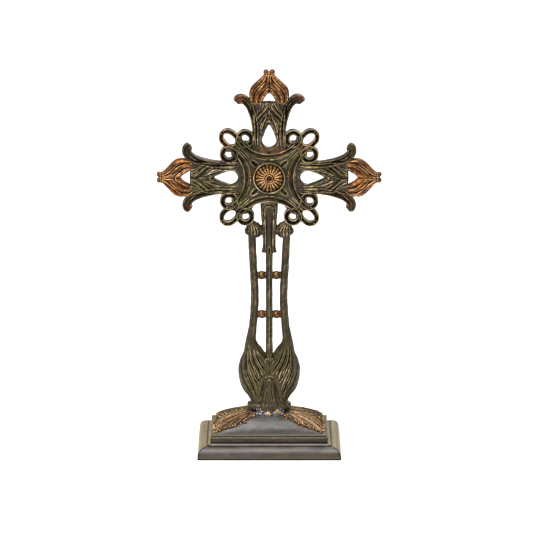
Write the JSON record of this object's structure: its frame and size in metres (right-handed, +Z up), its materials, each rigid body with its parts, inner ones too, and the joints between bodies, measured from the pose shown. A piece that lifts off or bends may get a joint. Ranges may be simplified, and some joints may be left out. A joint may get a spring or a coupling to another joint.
{
  "type": "standing decorative cross",
  "caption": "Openwork standing cross with scrolled head, leaf arms ending in buds, slender rod stem and leafy foot, on a stepped oblong plinth with draped leaves.",
  "frame": {"origin": "centre of the underside of the plinth, on the surface it stands on", "axes": "+Z up the stem, -Y out of the front face, +X to the right as seen from the front"},
  "size_m": [0.3048, 0.127, 0.5334],
  "materials": {
    "dark_bronze_paint": "cast resin, painted as dark aged bronze with rubbed ridges and copper details",
    "aged_bronze_paint": "cast resin, painted as grey-brown aged bronze with copper leaves"
  },
  "bodies": {
    "root": {"cross": "dark_bronze_paint", "plinth": "aged_bronze_paint"}
  },
  "joints": []
}
